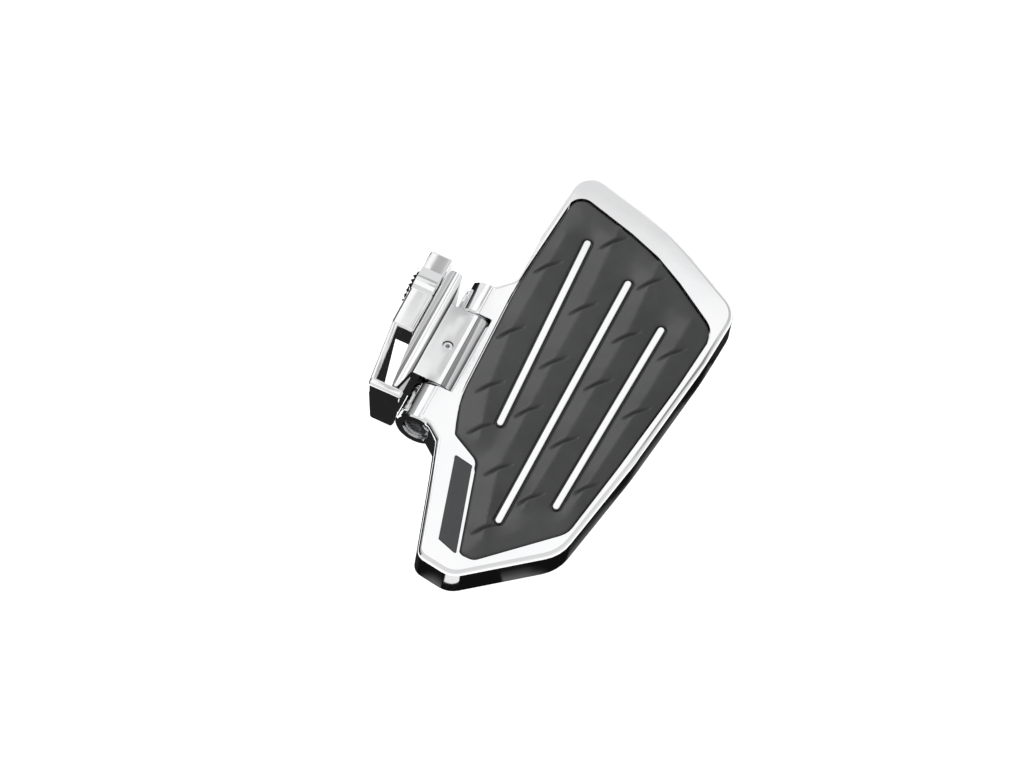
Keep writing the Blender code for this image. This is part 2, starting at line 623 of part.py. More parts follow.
def hollow_tool(shop, low, deck_low):
    """The hollow below the deck, inside the skirt, less the ribs that stand in it."""
    inside = rounded(inset(SKIRT_CORNERS, WALL))
    hollow = plate_mesh("hollow", inside, low - CUT_MARGIN, deck_low)
    tool = as_cutter(place(hollow, "board_hollow", shop.cutters, shop.fold))
    rib_low, rib_high = deck_low - UNDER_RIB_DEPTH, deck_low + OVERLAP
    for start, end in RIB_LINES:
        beyond = (Vector(end) - Vector(start)).normalized() * UNDER_RIB_OVERRUN / MM
        points = slot_points(Vector(start) - beyond, Vector(end) + beyond, UNDER_RIB_WIDTH / 2)
        shop.cut(tool, plate_mesh("long_rib", points, rib_low, rib_high))
    outer, half = max(corner[0] for corner in BOARD_CORNERS) * MM, UNDER_RIB_WIDTH / 2
    for y in CROSS_RIB_PLACES:
        middle = y * MM
        shop.cut(tool, box_mesh("cross_rib", (0, middle - half, rib_low), (outer, middle + half, rib_high)))
    return tool


def groove_mesh(x, y, height):
    """One slanting groove of the tread, as the long dimple that it leaves."""
    mesh = bpy.data.meshes.new("groove")
    shape = bmesh.new()
    bmesh.ops.create_uvsphere(shape, u_segments=GROOVE_SIDES, v_segments=GROOVE_RINGS, radius=1.0)
    bmesh.ops.scale(shape, verts=shape.verts, vec=(GROOVE_LENGTH / 2, GROOVE_WIDTH / 2, GROOVE_DEPTH))
    bmesh.ops.rotate(shape, verts=shape.verts, matrix=Matrix.Rotation(GROOVE_ANGLE, 3, "Z"))
    bmesh.ops.translate(shape, verts=shape.verts, vec=(x * MM, y * MM, height))
    shape.to_mesh(mesh)
    shape.free()
    return mesh


def rubber_pad(shop):
    """The rubber pad with its slots and slanting grooves, and the studded plate that backs it."""
    top = HINGE_RADIUS
    plate_low = top - RECESS_DEPTH + GAP
    plate_high = plate_low + PLATE_THICKNESS
    outline = rounded(PAD_CORNERS)
    pad_top = top + PAD_PROUD
    rubber = plate_mesh("pad", outline, plate_high + GAP, pad_top, PAD_EDGE_ROUND)
    pad = shop.part("rubber_pad", rubber, shop.rubber, True)
    backing = plate_mesh("plate", grown(outline, -PAD_EDGE_ROUND), plate_low, plate_high)
    plate = shop.part("pad_plate", backing, shop.steel, True)
    for start, end in RIB_LINES:
        for piece in (pad, plate):
            points = slot_points(start, end, RIB_WIDTH / 2 + EDGE_GAP)
            shop.cut(piece, plate_mesh("slot", points, plate_low - CUT_MARGIN, pad_top + CUT_MARGIN))
    for x, y in GROOVE_PLACES:
        shop.cut(pad, groove_mesh(x, y, pad_top))
    for x, y in STUD_PLACES:
        start = (x * MM, y * MM, plate_high - OVERLAP / 2)
        end = (x * MM, y * MM, plate_low - STUD_LENGTH)
        shop.add(plate, rod_mesh("stud", STUD_RADIUS, start, end, SMALL_SIDES))


def pad_fasteners(shop):
    """A washer and a nut on each stud, below the deck."""
    washer_high = HINGE_RADIUS - RECESS_DEPTH - DECK_THICKNESS - GAP
    washer_low = washer_high - STUD_WASHER_THICKNESS
    nut_high = washer_low - GAP
    nut_low = nut_high - STUD_NUT_LENGTH
    for number, (x, y) in enumerate(STUD_PLACES, 1):
        x, y = x * MM, y * MM
        washer = rod_mesh("washer", STUD_WASHER_RADIUS, (x, y, washer_low), (x, y, washer_high), SMALL_SIDES)
        nut = rod_mesh("nut", STUD_NUT_RADIUS, (x, y, nut_low), (x, y, nut_high), 6)
        hole_low, hole_high = (x, y, nut_low - CUT_MARGIN), (x, y, washer_high + OVERLAP)
        for name, mesh in ((f"pad_washer_{number}", washer), (f"pad_nut_{number}", nut)):
            made = shop.part(name, mesh, shop.steel, True)
            shop.cut(made, rod_mesh("hole", STUD_RADIUS + GAP, hole_low, hole_high, SMALL_SIDES))


def badge_plate(shop):
    """The bare plate set flush in the deck beside the pad."""
    top = HINGE_RADIUS
    points = rounded(BADGE_CORNERS)
    plate = plate_mesh("badge", points, top - BADGE_THICKNESS, top, BADGE_ROUND)
    shop.part("badge_plate", plate, shop.badge, True)


def main():
    clear_scene()
    shop = Workshop()
    adapter_bracket(shop)
    hinge_block(shop)
    clamp_screw(shop)
    hinge_hardware(shop)
    grub_screw(shop)
    board_casting(shop)
    rubber_pad(shop)
    pad_fasteners(shop)
    badge_plate(shop)


main()
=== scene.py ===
"""Looks of the folding passenger floorboard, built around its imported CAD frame. Lengths are in metres."""

import json
import math

import bmesh
import bpy
from mathutils import Matrix, Vector
from mathutils.geometry import delaunay_2d_cdt
from mathutils.kdtree import KDTree


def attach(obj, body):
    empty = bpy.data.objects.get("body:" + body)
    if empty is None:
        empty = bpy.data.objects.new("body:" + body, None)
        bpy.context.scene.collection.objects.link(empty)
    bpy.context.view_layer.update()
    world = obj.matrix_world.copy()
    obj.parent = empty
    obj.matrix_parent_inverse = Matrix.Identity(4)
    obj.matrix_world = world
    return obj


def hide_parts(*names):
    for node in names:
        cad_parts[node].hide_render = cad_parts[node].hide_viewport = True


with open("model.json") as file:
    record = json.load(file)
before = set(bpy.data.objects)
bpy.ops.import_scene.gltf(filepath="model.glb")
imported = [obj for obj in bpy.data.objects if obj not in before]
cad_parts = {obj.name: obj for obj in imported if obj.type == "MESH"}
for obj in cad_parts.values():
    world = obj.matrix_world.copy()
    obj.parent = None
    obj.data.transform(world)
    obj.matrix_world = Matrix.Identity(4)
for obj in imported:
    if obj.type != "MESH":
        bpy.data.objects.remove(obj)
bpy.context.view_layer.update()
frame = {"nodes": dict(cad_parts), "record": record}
NODES = frame["nodes"]
SLOT_OF = {part["node"]: part["material_slot"] for part in frame["record"]["subparts"]}
MM = 0.001

# The photograph's view: a long lens, from in front of the board's narrow end and well above it
AZIMUTH, ELEVATION, ROLL = math.radians(14.4), math.radians(58.0), math.radians(12.0)
LENS, SENSOR = 500.0, 36.0
IMAGE_WIDTH, IMAGE_HEIGHT = 1024, 768
PIXELS_PER_MM = 2.0
KNOWN_POINT, KNOWN_PIXEL = Vector((40.0, -34.5, 16.0)) * MM, (456.0, 359.0)


def make_camera():
    back = Vector((
        math.sin(AZIMUTH) * math.cos(ELEVATION),
        -math.cos(AZIMUTH) * math.cos(ELEVATION),
        math.sin(ELEVATION),
    ))
    level = Vector((math.cos(AZIMUTH), math.sin(AZIMUTH), 0.0))
    upright = back.cross(level)
    right = level * math.cos(ROLL) + upright * math.sin(ROLL)
    up = upright * math.cos(ROLL) - level * math.sin(ROLL)
    mm_right = (IMAGE_WIDTH / 2 - KNOWN_PIXEL[0]) / PIXELS_PER_MM
    mm_up = (KNOWN_PIXEL[1] - IMAGE_HEIGHT / 2) / PIXELS_PER_MM
    target = KNOWN_POINT + (right * mm_right + up * mm_up) * MM
    distance = LENS / SENSOR * IMAGE_WIDTH / PIXELS_PER_MM * MM
    data = bpy.data.cameras.new("camera")
    data.lens, data.sensor_width, data.clip_end = LENS, SENSOR, 50.0
    camera = bpy.data.objects.new("camera", data)
    bpy.context.scene.collection.objects.link(camera)
    place = Matrix((right, up, back)).transposed().to_4x4()
    place.translation = target + back * distance
    camera.matrix_world = place
    bpy.context.scene.camera = camera


# ---------------------------------------------------------------- node helpers


class Graph:
    """A short way to write a material's nodes."""

    def __init__(self, name):
        self.material = bpy.data.materials.new(name)
        self.material.use_nodes = True
        self.tree = self.material.node_tree
        self.shader = self.tree.nodes["Principled BSDF"]
        self.place = self.node("ShaderNodeTexCoord").outputs["Object"]

    def node(self, kind, **settings):
        made = self.tree.nodes.new(kind)
        for key, value in settings.items():
            setattr(made, key, value)
        return made

    def link(self, source, target):
        self.tree.links.new(source, target)

    def noise(self, scale, detail=3.0, roughness=0.5, stretch=None):
        texture = self.node("ShaderNodeTexNoise")
        texture.inputs["Scale"].default_value = scale
        texture.inputs["Detail"].default_value = detail
        texture.inputs["Roughness"].default_value = roughness
        source = self.place
        if stretch:
            mapping = self.node("ShaderNodeMapping")
            mapping.inputs["Scale"].default_value = stretch
            self.link(self.place, mapping.inputs["Vector"])
            source = mapping.outputs["Vector"]
        self.link(source, texture.inputs["Vector"])
        return texture.outputs["Fac"]

    def ramp(self, source, low, high, from_value, to_value):
        made = self.node("ShaderNodeMapRange")
        for socket, value in zip(made.inputs[1:5], (low, high, from_value, to_value)):
            socket.default_value = value
        self.link(source, made.inputs[0])
        return made.outputs[0]

    def colours(self, source, first, second):
        made = self.node("ShaderNodeMix", data_type="RGBA")
        made.inputs["A"].default_value = (*first, 1.0)
        made.inputs["B"].default_value = (*second, 1.0)
        self.link(source, made.inputs["Factor"])
        return made.outputs["Result"]

    def bump(self, heights):
        """Bump from (source, height in metres) pairs, one after another."""
        normal = None
        for source, height in heights:
            made = self.node("ShaderNodeBump")
            made.inputs["Distance"].default_value = height
            self.link(source, made.inputs["Height"])
            if normal:
                self.link(normal, made.inputs["Normal"])
            normal = made.outputs["Normal"]
        self.link(normal, self.shader.inputs["Normal"])


def metal(name, first, second, rough_low, rough_high, scale, bumps, stretch=None):
    """A metal whose colour, gloss and surface all vary a little."""
    graph = Graph(name)
    graph.shader.inputs["Metallic"].default_value = 1.0
    cloud = graph.noise(scale, 4.0, 0.6, stretch)
    tone = graph.colours(graph.ramp(cloud, 0.35, 0.65, 0.0, 1.0), first, second)
    graph.link(tone, graph.shader.inputs["Base Color"])
    graph.link(graph.ramp(cloud, 0.3, 0.7, rough_low, rough_high), graph.shader.inputs["Roughness"])
    graph.bump([(graph.noise(fineness, 2.0, 0.5, stretch), height) for fineness, height in bumps])
    return graph.material


def chrome_material():
    return metal(
        "polished_chrome", (0.845, 0.85, 0.86), (0.87, 0.87, 0.875), 0.035, 0.075, 45.0,
        [(28.0, 0.00009), (160.0, 0.000010), (1400.0, 0.0000012)],
    )


def steel_material():
    return metal(
        "plated_steel", (0.50, 0.51, 0.53), (0.60, 0.61, 0.62), 0.22, 0.36, 300.0,
        [(900.0, 0.00001), (4000.0, 0.000004)],
    )


def bronze_material():
    return metal(
        "bronze", (0.50, 0.36, 0.18), (0.60, 0.45, 0.24), 0.32, 0.46, 250.0,
        [(1200.0, 0.00001), (3000.0, 0.000006)],
    )


def rubber_material():
    graph = Graph("moulded_rubber")
    cloud = graph.noise(38.0, 5.0, 0.62)
    grain = graph.noise(2600.0, 2.0, 0.6)
    tone = graph.colours(
        graph.ramp(cloud, 0.32, 0.68, 0.0, 1.0), (0.026, 0.0265, 0.027), (0.036, 0.0365, 0.0375),
    )
    graph.link(tone, graph.shader.inputs["Base Color"])
    graph.link(graph.ramp(cloud, 0.3, 0.7, 0.38, 0.48), graph.shader.inputs["Roughness"])
    graph.shader.inputs["Specular IOR Level"].default_value = 0.45
    graph.bump([(grain, 0.00003), (graph.noise(700.0, 3.0, 0.55), 0.00003)])
    return graph.material


def badge_material():
    graph = Graph("bare_badge_plate")
    brush = graph.noise(60.0, 3.0, 0.6, (60.0, 4.0, 30.0))
    tone = graph.colours(brush, (0.020, 0.0205, 0.022), (0.040, 0.041, 0.043))
    graph.link(tone, graph.shader.inputs["Base Color"])
    graph.link(graph.ramp(brush, 0.3, 0.7, 0.34, 0.46), graph.shader.inputs["Roughness"])
    graph.shader.inputs["Metallic"].default_value = 0.35
    graph.bump([(brush, 0.00002)])
    return graph.material


MATERIALS = {
    "chrome": chrome_material(),
    "steel": steel_material(),
    "bronze": bronze_material(),
    "rubber": rubber_material(),
    "badge_grey": badge_material(),
}


def dress(obj, slot):
    for index in range(max(1, len(obj.material_slots))):
        if index < len(obj.material_slots):
            obj.material_slots[index].material = MATERIALS[slot]
        else:
            obj.data.materials.append(MATERIALS[slot])


def keep_piece(obj, body, slot, *nodes):
    dress(obj, slot)
    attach(obj, body)
    if nodes:
        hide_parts(*nodes)
    return obj


# ---------------------------------------------------------------- outlines, in mm from the hinge

HINGE = Vector((37.5, -29.0, 4.5))
BOARD_CORNERS = [
    (13, -52.5, 3), (17.2, -65.5, 60), (32.6, -117.6, 7), (53, -120.7, 12), (96.5, -83, 24),
    (107, -18, 200), (114.8, 52, 200), (116.5, 88, 14), (68.5, 114.5, 120), (13, 129, 11), (9.3, 82, 120),
]
ARC_STEP = math.radians(6)
CORNER_SHARE = 0.48
SLOT_END_STEPS = 16
PAD_CORNERS = [
    (13.5, -25.5, 60), (20.5, -45.5, 4), (36.5, -54.5, 7), (51, -107.5, 4), (59, -107.5, 5),
    (94, -71, 13), (100.5, -25, 150), (107.5, 33, 150), (110.5, 71, 13), (68, 99, 120),
    (16, 113.5, 7), (11.3, 49, 200), (12.5, 8, 120),
]
RIB_LINES = [((32.5, 88.5), (37.5, -28.5)), ((60.5, 76.5), (60.5, -80.5)), ((86.5, 59.5), (82.5, -59.5))]
SLOT_HALF_WIDTH = 2.7
PAD_INSET = 0.4
GROOVE_STRIPS = [
    [(20.5, 66), (20, 22), (24, -12), (30.5, -36)],
    [(44, 95), (46.5, 52), (46.5, 16), (47, -16), (48, -54), (56.5, -88)],
    [(70.5, 82), (72.5, 47), (71.5, 15), (70.5, -24), (69, -62)],
    [(97, 49), (95.5, 9), (91.5, -43)],
]
GROOVE_ANGLE = math.radians(53)
LIP_REACH = 0.8
PAD_LOW, PAD_LIP, PAD_EDGE, RIDGE_RISE = 8.6, 9.4, 10.8, 2.1
PAD_ROUND = 0.9


def rounded(corners):
    """The outline through these corners, each rounded by its own radius, as a list of points."""
    points = []
    count = len(corners)
    for index, (x, y, radius) in enumerate(corners):
        here = Vector((x, y))
        before = Vector(corners[index - 1][:2]) - here
        after = Vector(corners[(index + 1) % count][:2]) - here
        turn = math.pi - before.angle(after)
        reach = min(radius * math.tan(turn / 2), CORNER_SHARE * min(before.length, after.length))
        fillet = reach / math.tan(turn / 2)
        middle_way = (before.normalized() + after.normalized()).normalized()
        centre = here + middle_way * (fillet / math.cos(turn / 2))
        first = here + before.normalized() * reach - centre
        last = here + after.normalized() * reach - centre
        sweep = first.angle_signed(last)
        steps = max(2, math.ceil(abs(sweep) / ARC_STEP))
        for step in range(steps + 1):
            spoke = first.copy()
            spoke.rotate(Matrix.Rotation(-sweep * step / steps, 2))
            points.append(centre + spoke)
    return points


def evenly(points, spacing):
    """The same closed outline with points no further apart than this."""
    filled = []
    for here, after in zip(points, points[1:] + points[:1]):
        pieces = max(1, math.ceil((after - here).length / spacing))
        filled += [here.lerp(after, piece / pieces) for piece in range(pieces)]
    return filled


def slot_outline(start, end, half_width):
    start, end = Vector(start), Vector(end)
    along = (end - start).normalized()
    across = Vector((-along.y, along.x))
    points = []
    for centre, turn in ((end, -math.pi / 2), (start, math.pi / 2)):
        for step in range(SLOT_END_STEPS + 1):
            angle = turn + math.pi * step / SLOT_END_STEPS
            points.append(centre + (along * math.cos(angle) + across * math.sin(angle)) * half_width)
    return points


def distance_to(point, points):
    """How far a point lies inside a closed outline. Outside, it is negative."""
    nearest, inside = math.inf, False
    x, y = point
    for a, b in zip(points, points[1:] + points[:1]):
        edge, offset = b - a, point - a
        share = max(0.0, min(1.0, offset.dot(edge) / edge.dot(edge)))
        nearest = min(nearest, (offset - edge * share).length_squared)
        if (a.y > y) != (b.y > y) and x < (b.x - a.x) * (y - a.y) / (b.y - a.y) + a.x:
            inside = not inside
    return math.sqrt(nearest) if inside else -math.sqrt(nearest)


def moved_in(points, amount):
    """A closed outline moved inwards by this amount, or outwards if it is negative."""
    area = sum(a.x * b.y - b.x * a.y for a, b in zip(points, points[1:] + points[:1]))
    side = -1 if area > 0 else 1
    moved = []
    for index, here in enumerate(points):
        before = (here - points[index - 1]).normalized()
        after = (points[(index + 1) % len(points)] - here).normalized()
        normal = (Vector((before.y, -before.x)) + Vector((after.y, -after.x))).normalized() * side
        moved.append(here + normal * amount)
    return moved


# ---------------------------------------------------------------- rubber pad

RIDGE_ROUND = 0.035
GROOVE_REACH, GROOVE_HALF_WIDTH, GROOVE_DIP, GROOVE_BOW = 8.5, 0.55, 1.6, 0.4
STEP_RISE, STEP_LENGTH = 0.75, 16.0
RINGS = [0.08, 0.22, 0.45, 0.8, 1.4]
EDGE_SPACING, FIELD_SPACING, ROW_SHARE = 1.2, 1.5, 0.866
GROOVE_STEPS = 17
GROOVE_OFFSETS = (-3.0, -2.0, -1.2, -0.7, -0.42, -0.2, 0.0, 0.2, 0.42, 0.7, 1.2, 2.0, 3.0)
RIDGE_BEFORE, RIDGE_BEYOND = 22, 7
LEAST_SPACING, FIELD_CLEARANCE, FINE_CLEARANCE, RIM_CLEARANCE = 0.15, 0.6, 0.3, 0.04
LIP_OVERHANG = 0.1
CDT_TOLERANCE = 1e-4
GROOVE_ALONG = Vector((math.cos(GROOVE_ANGLE), math.sin(GROOVE_ANGLE)))
GROOVE_ACROSS = Vector((GROOVE_ALONG.y, -GROOVE_ALONG.x))
GROOVES = [Vector(place) for strip in GROOVE_STRIPS for place in strip]


def smooth(value):
    value = max(0.0, min(1.0, value))
    return value * value * (3 - 2 * value)


def ridge_lines():
    """Each strip of the pad is a low gable whose ridge runs through its grooves."""
    lines = []
    for strip in GROOVE_STRIPS:
        points = [Vector(place) for place in strip]
        before = points[0] + (points[0] - points[1]).normalized() * RIDGE_BEFORE
        after = points[-1] + (points[-1] - points[-2]).normalized() * RIDGE_BEYOND
        points = [before, *points, after]
        lines += list(zip(points, points[1:]))
    return lines


RIDGES = ridge_lines()


def distance_to_line(point, start, end):
    line = end - start
    share = max(0.0, min(1.0, (point - start).dot(line) / line.dot(line)))
    return (point - start - line * share).length


def pad_surface(point, edge_distance, slot_distance):
    """The height of the pad's upper surface."""
    border = max(0.0, min(edge_distance, slot_distance))
    ridge = min(distance_to_line(point, start, end) for start, end in RIDGES)
    share = 1 - border / (border + ridge + 0.001)
    height = PAD_EDGE + RIDGE_RISE * (1 + RIDGE_ROUND - math.hypot(share, RIDGE_ROUND))
    for middle in GROOVES:
        offset = point - middle
        run = offset.dot(GROOVE_ALONG) / GROOVE_REACH
        if abs(run) >= 1:
            continue
        across = offset.dot(GROOVE_ACROSS) - GROOVE_BOW * run ** 2
        taper = 1 - run ** 2
        if -STEP_LENGTH < across <= 0:
            height += STEP_RISE * taper * smooth(1 + across / STEP_LENGTH) ** 2
        elif 0 < across < GROOVE_HALF_WIDTH:
            height += STEP_RISE * taper * (1 - across / GROOVE_HALF_WIDTH)
        height -= GROOVE_DIP * taper ** 0.7 * math.exp(-(across / GROOVE_HALF_WIDTH) ** 2)
    if border < PAD_ROUND:
        height -= PAD_ROUND - math.sqrt(max(0.0, PAD_ROUND ** 2 - (PAD_ROUND - border) ** 2))
    return height


def pad_points(outer, slots):
    """Points of the upper surface: rings inside each edge, a field, and more at grooves and ridges."""
    points = []
    for amount in RINGS:
        points += moved_in(outer, amount)
        for slot in slots:
            points += moved_in(slot, -amount)
    low_x, high_x = min(p.x for p in outer), max(p.x for p in outer)
    low_y, high_y = min(p.y for p in outer), max(p.y for p in outer)
    rows = int((high_y - low_y) / (FIELD_SPACING * ROW_SHARE)) + 1
    columns = int((high_x - low_x) / FIELD_SPACING) + 1
    field = []
    for row in range(rows):
        for column in range(columns):
            x = low_x + (column + 0.5 * (row % 2)) * FIELD_SPACING
            field.append(Vector((x, low_y + row * FIELD_SPACING * ROW_SHARE)))
    fine = []
    for middle in GROOVES:
        for step in range(-GROOVE_STEPS, GROOVE_STEPS + 1):
            run = step / GROOVE_STEPS
            bow = GROOVE_BOW * run ** 2
            for side in GROOVE_OFFSETS:
                fine.append(middle + GROOVE_ALONG * (run * GROOVE_REACH) + GROOVE_ACROSS * (side + bow))
    for start, end in RIDGES:
        count = max(1, round((end - start).length / EDGE_SPACING))
        fine += [start.lerp(end, step / count) for step in range(count)]
    return points, field, fine


def rubber_pad():
    """The tread pad: its grooved upper surface, its rounded walls, and a lip in the gap beside them."""
    outer = moved_in(evenly(rounded(PAD_CORNERS), EDGE_SPACING), PAD_INSET)
    slots = [
        evenly(slot_outline(start, end, SLOT_HALF_WIDTH), EDGE_SPACING) for start, end in RIB_LINES
    ]
    coarse_outer = moved_in(rounded(PAD_CORNERS), PAD_INSET)
    lines = [(Vector(start), Vector(end)) for start, end in RIB_LINES]

    def depth(point):
        slot = min(distance_to_line(point, start, end) for start, end in lines) - SLOT_HALF_WIDTH
        return distance_to(point, coarse_outer), slot

    rings, field, fine = pad_points(outer, slots)
    fine = [p for p in fine if min(depth(p)) > RINGS[-1] + FINE_CLEARANCE]
    tree = KDTree(len(fine))
    for index, point in enumerate(fine):
        tree.insert((point.x, point.y, 0), index)
    tree.balance()
    sparse = []
    for index, point in enumerate(fine):
        near = [i for _, i, d in tree.find_range((point.x, point.y, 0), LEAST_SPACING) if i < index]
        if not near:
            sparse.append(point)
    field = [
        p for p in field
        if min(depth(p)) > RINGS[-1] + FIELD_CLEARANCE
        and tree.find((p.x, p.y, 0))[2] > FIELD_CLEARANCE
    ]
    rings = [p for p in rings if min(depth(p)) > RIM_CLEARANCE]
    points, edges = [], []
    for loop in [outer, *slots]:
        first = len(points)
        points += loop
        edges += [(first + i, first + (i + 1) % len(loop)) for i in range(len(loop))]
    points += rings + sparse + field
    made = delaunay_2d_cdt(points, edges, [], 0, CDT_TOLERANCE)
    verts, faces = made[0], made[2]
    shape = bmesh.new()
    depths = [depth(v) for v in verts]
    top = []
    for vert, (edge, slot) in zip(verts, depths):
        height = pad_surface(vert, max(edge, 0.0), max(slot, 0.0))
        top.append(shape.verts.new((vert.x, vert.y, height)))
    for face in faces:
        centre = sum((verts[i] for i in face), Vector((0, 0))) / len(face)
        if min(depth(centre)) > 0:
            shape.faces.new([top[i] for i in face])
    bmesh.ops.delete(shape, geom=[v for v in shape.verts if not v.link_faces], context="VERTS")
    rims = outer + [point for slot in slots for point in slot]
    lips = moved_in(outer, -PAD_INSET + LIP_OVERHANG)
    for slot in slots:
        lips += moved_in(slot, LIP_REACH)
    rim_tree = KDTree(len(rims))
    for index, point in enumerate(rims):
        rim_tree.insert((point.x, point.y, 0), index)
    rim_tree.balance()
    for height, outwards in ((PAD_LIP, False), (PAD_LIP, True), (PAD_LOW, False)):
        rim = [e for e in shape.edges if e.is_boundary]
        walls = bmesh.ops.extrude_edge_only(shape, edges=rim)
        for vert in [v for v in walls["geom"] if isinstance(v, bmesh.types.BMVert)]:
            vert.co.z = height
            if outwards:
                vert.co.xy = lips[rim_tree.find((vert.co.x, vert.co.y, 0))[1]]
    bmesh.ops.triangle_fill(shape, edges=[e for e in shape.edges if e.is_boundary], use_beauty=True)
    bmesh.ops.recalc_face_normals(shape, faces=shape.faces)
    bmesh.ops.translate(shape, verts=shape.verts, vec=HINGE)
    bmesh.ops.scale(shape, verts=shape.verts, vec=(MM, MM, MM))
    mesh = bpy.data.meshes.new("tread_pad")
    shape.to_mesh(mesh)
    shape.free()
    mesh.shade_smooth()
    mesh.set_sharp_from_angle(angle=math.radians(50))
    pad = bpy.data.objects.new("tread_pad", mesh)
    bpy.context.scene.collection.objects.link(pad)
    return keep_piece(pad, "board", "rubber", "rubber_pad")


# ---------------------------------------------------------------- chrome, from the CAD solids


def polished(node, body):
    """A copy of a CAD solid whose round edges are shaded smoothly and its flats stay flat."""
    mesh = NODES[node].data.copy()
    shape = bmesh.new()
    shape.from_mesh(mesh)
    bmesh.ops.remove_doubles(shape, verts=shape.verts, dist=0.002 * MM)
    bmesh.ops.dissolve_limit(shape, angle_limit=math.radians(0.5), verts=shape.verts, edges=shape.edges)
    shape.to_mesh(mesh)
    shape.free()
    mesh.shade_smooth()
    mesh.set_sharp_from_angle(angle=math.radians(36))
    made = bpy.data.objects.new(node + "_finish", mesh)
    bpy.context.scene.collection.objects.link(made)
    even = made.modifiers.new("even", "WEIGHTED_NORMAL")
    even.keep_sharp = True
    even.weight = 100
    return keep_piece(made, body, "chrome", node)


# ---------------------------------------------------------------- studio
#
# The cards show in reflections only. Their tones are tuned against the photograph, so that in its own
# view the chrome mirrors greys like the photograph's. They stand still, so other views mirror them
# elsewhere.

WORLD_STRENGTH = 0.92
FLOOR_Z, FLOOR_REACH, FLOOR_COLOUR, FLOOR_GLOW = -0.13, 6.0, 0.92, 0.34
KEY_SIZE, KEY_POWER, KEY_PLACE = 0.55, 8.0, (-0.7, 0.6, 1.2)
KEY_AIM = Vector((0.08, -0.03, 0.0))
MIRROR_X, MIRROR_Y = 80.0, 302.0  # how far a flat top's mirror image lies from it on the high cards, mm
VIEW_X, VIEW_Y, VIEW_Z = 0.132, 0.513, 0.848  # the direction to the camera, without its signs
LOW_CARD_DROP = 28.0
LOW_CARD_DISTANCES = [
    -18.0, 0.0, 3.0, 4.0, 5.0, 6.0, 7.0, 8.0, 9.5, 11.0, 12.5, 14.0, 16.0, 18.0,
    20.4, 20.6, 23.0, 28.9, 29.1, 60.0,
]


def quad(name, corners, finish):
    mesh = bpy.data.meshes.new(name)
    mesh.from_pydata([Vector(c) for c in corners], [], [list(range(len(corners)))])
    mesh.materials.append(finish)
    made = bpy.data.objects.new(name, mesh)
    bpy.context.scene.collection.objects.link(made)
    return made


def only_reflected(made):
    made.visible_camera = False
    made.visible_diffuse = False
    made.visible_transmission = False
    made.visible_shadow = False
    return made


def card_finish():
    """A card's light comes from the tone written on its points."""
    made = bpy.data.materials.new("card")
    made.use_nodes = True
    nodes, links = made.node_tree.nodes, made.node_tree.links
    nodes.clear()
    tone = nodes.new("ShaderNodeAttribute")
    tone.attribute_name = "tone"
    light = nodes.new("ShaderNodeEmission")
    links.new(tone.outputs["Fac"], light.inputs["Strength"])
    output = nodes.new("ShaderNodeOutputMaterial")
    links.new(light.outputs[0], output.inputs["Surface"])
    return made


def card(name, rows, tones, finish):
    """A studio card that only shows in reflections, from rows of points that each have a tone."""
    points = [point for row in rows for point in row]
    width = len(rows[0])
    faces = []
    for row in range(len(rows) - 1):
        for column in range(width - 1):
            first = row * width + column
            faces.append((first, first + 1, first + width + 1, first + width))
    mesh = bpy.data.meshes.new(name)
    mesh.from_pydata(points, [], faces)
    mesh.attributes.new("tone", "FLOAT", "POINT")
    for item, tone in zip(mesh.attributes["tone"].data, [tone for row in tones for tone in row]):
        item.value = tone
    mesh.materials.append(finish)
    made = bpy.data.objects.new(name, mesh)
    bpy.context.scene.collection.objects.link(made)
    return only_reflected(made)


def level_card(name, low_x, low_y, high_x, high_y, z, steps_x, steps_y, tone, finish):
    rows, tones = [], []
    for row in range(steps_y + 1):
        y = low_y + (high_y - low_y) * row / steps_y
        places = [low_x + (high_x - low_x) * column / steps_x for column in range(steps_x + 1)]
        rows.append([(x, y, z) for x in places])
        tones.append([tone(x, y) for x in places])
    return card(name, rows, tones, finish)


def steps_between(value, pairs):
    """A value read off a line through (place, value) pairs."""
    if value <= pairs[0][0]:
        return pairs[0][1]
    for (low, first), (high, second) in zip(pairs, pairs[1:]):
        if value <= high:
            return first + (second - first) * smooth((value - low) / (high - low))
    return pairs[-1][1]


def mount_tone(x, y):
    """What the flat tops of the mount reflect, given where on them it shows."""
    x, y = x / MM + MIRROR_X, y / MM - MIRROR_Y
    if x < 16.0:
        tone = steps_between(-y, [(-20.0, 0.48), (-8.0, 0.60), (10.0, 0.74), (30.0, 0.86), (50.0, 1.0)])
        # A round, slightly darker patch on the card: painted shade that the bracket's flat top mirrors.
        arc = math.hypot(x - 14.0, y - 6.0)
        return tone * (1.0 - 0.14 * smooth((19.0 - arc) / 4.0))
    if -52.0 < y < -5.0:
        return steps_between(x, [
            (26.0, 0.92), (28.5, 0.86), (30.0, 0.70), (33.5, 0.64), (35.0, 0.68), (36.5, 0.62), (39.0, 0.66),
            (39.6, 0.84), (42.0, 0.86), (44.0, 0.74), (45.5, 0.60), (46.5, 1.1),
        ])
    return steps_between(x, [(24.0, 0.50), (30.0, 0.62), (33.5, 0.66), (34.2, 1.12)])


def softbox_tone(x, y):
    """White over the deck. To the right are the greys that the flange and the round edges reflect."""
    right = steps_between(x, [(0.10, 1.12), (0.15, 0.78)])
    right *= steps_between(y, [(0.352, 1.0), (0.372, 0.93), (0.398, 0.74)])
    if not 0.235 < y < 0.345:
        return right
    return steps_between(x, [
        (0.10, 1.12), (0.135, 0.80), (0.15, 0.14), (0.17, 0.12), (0.19, 0.34), (0.225, 0.42), (0.24, 0.16),
        (0.265, 0.24), (0.28, 0.42), (0.30, 0.28), (0.33, 0.16), (0.36, 0.32), (0.42, 0.20),
        (0.47, 0.50), (0.55, 0.78),
    ])


